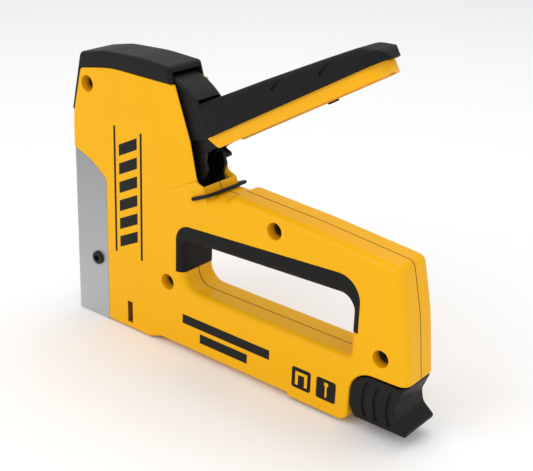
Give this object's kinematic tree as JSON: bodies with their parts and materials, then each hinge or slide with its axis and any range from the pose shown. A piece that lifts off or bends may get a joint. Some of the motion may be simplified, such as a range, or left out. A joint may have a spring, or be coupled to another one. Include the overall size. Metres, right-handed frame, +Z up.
{
  "type": "staple gun",
  "caption": "Manual staple gun with a yellow moulded body, black-gripped squeeze lever, steel nose plate, wire lock bail and a rear-loading magazine with a pull-out pusher.",
  "frame": {"origin": "mount nose_foot: middle of the steel nose plate's front web, at the bottom face that is pressed on the work", "axes": "+X from the nose to the rear, +Y to the user's right-hand side seen from behind the nose (the far side in the picture is +Y), +Z up along the nose"},
  "size_m": [0.2338, 0.0312, 0.1929],
  "materials": {
    "yellow_paint": "satin",
    "yellow_shell": "satin",
    "black_plastic": "matte",
    "grip_rubber": "matte",
    "black_steel": "satin",
    "plain_steel": "brushed",
    "dark_screw": "satin",
    "spring_steel": "polished"
  },
  "bodies": {
    "housing": {"left_shell": "yellow_shell", "right_shell": "yellow_shell", "top_cap": "black_plastic", "grip_insert": "grip_rubber", "nose_plate": "plain_steel", "nose_screw": "dark_screw", "shell_screws": "dark_screw", "lever_pivot_pin": "plain_steel", "lever_return_spring": "spring_steel", "main_spring": "spring_steel", "spring_seat": "plain_steel", "hammer_bumper": "grip_rubber", "blade_guide": "plain_steel", "magazine_channel": "plain_steel", "magazine_rail": "plain_steel"},
    "lever": {"lever_channel": "yellow_paint", "lever_grip": "grip_rubber", "lever_root_cover": "black_plastic", "left_lever_arm": "black_steel", "right_lever_arm": "black_steel", "lever_rivets": "black_steel", "pivot_bush": "plain_steel", "lock_hook": "black_steel", "lock_hook_pin": "black_steel", "lever_bumper": "grip_rubber"},
    "hammer": {"hammer": "black_steel", "driver_blade": "plain_steel", "lift_pin": "plain_steel"},
    "bail": {"lock_bail": "black_steel"},
    "magazine": {"magazine_knob": "black_plastic", "pusher_rod": "plain_steel"},
    "pusher": {"pusher": "plain_steel", "pusher_spring": "spring_steel"}
  },
  "joints": [
    {"name": "lever_hinge", "type": "hinge", "parent": "housing", "child": "lever", "pos_m": [0.0593, 0, 0.1153], "axis": [0, 1, 0], "range_deg": [0, 24.5], "stiffness_Nm_per_rad": 1.5, "springref_deg": -17.19},
    {"name": "hammer_slide", "type": "slide", "parent": "housing", "child": "hammer", "axis": [0, 0, 1], "range_m": [0, 0.0176], "stiffness_N_per_m": 1500, "springref_m": -0.01, "deforming": ["main_spring"]},
    {"name": "bail_hinge", "type": "hinge", "parent": "housing", "child": "bail", "pos_m": [0.0915, 0, 0.0951], "axis": [0, -1, 0], "range_deg": [0, 7.5]},
    {"name": "magazine_slide", "type": "slide", "parent": "housing", "child": "magazine", "axis": [1, 0, 0], "range_m": [0, 0.15]},
    {"name": "pusher_slide", "type": "slide", "parent": "magazine", "child": "pusher", "axis": [1, 0, 0], "range_m": [0, 0.095], "stiffness_N_per_m": 20, "springref_m": -0.1, "deforming": ["pusher_spring"]}
  ],
  "couplings": [
    {"joint": "hammer_slide", "follows": "lever_hinge", "m_per_rad": 0.0408}
  ]
}
